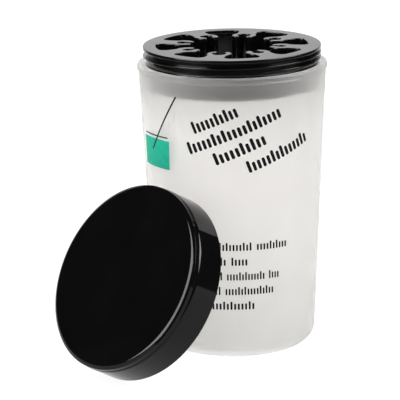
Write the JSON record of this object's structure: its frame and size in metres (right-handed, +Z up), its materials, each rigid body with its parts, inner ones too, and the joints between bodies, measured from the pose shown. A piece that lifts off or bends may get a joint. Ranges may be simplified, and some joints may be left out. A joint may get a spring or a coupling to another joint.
{
  "type": "brush cleaning jar",
  "caption": "Tapered frosted jar for soaking artists' brushes, with a black threaded holder of spring clips that grip the handles, and a screw lid that lies off, leaning on the jar.",
  "frame": {"origin": "centre of the cup's flat base, on the surface it stands on", "axes": "+Z up along the cup's axis; the lid leans on the cup in the -X, -Y quarter; the print is on the -Y side"},
  "size_m": [0.1082, 0.1167, 0.1204],
  "materials": {
    "frosted_plastic": "frosted, translucent",
    "black_plastic": "glossy, moulded",
    "print_green": "screen print",
    "print_black": "screen print"
  },
  "bodies": {
    "cup": {"cup": "frosted_plastic"},
    "holder": {"collar": "black_plastic", "brush_clip_1": "black_plastic", "brush_clip_2": "black_plastic", "brush_clip_3": "black_plastic", "brush_clip_4": "black_plastic", "brush_clip_5": "black_plastic", "brush_clip_6": "black_plastic", "brush_clip_7": "black_plastic", "brush_clip_8": "black_plastic"},
    "lid": {"lid": "black_plastic"}
  },
  "joints": [
    {"name": "holder_lift", "type": "slide", "parent": "cup", "child": "holder", "axis": [0, 0, 1], "range_m": [0, 0.025]},
    {"name": "lid_tip", "type": "hinge", "parent": "cup", "child": "lid", "pos_m": [-0.04724, -0.05261, 0.0005], "axis": [0.6547, -0.7559, 0], "range_deg": [0, 28.3]}
  ]
}
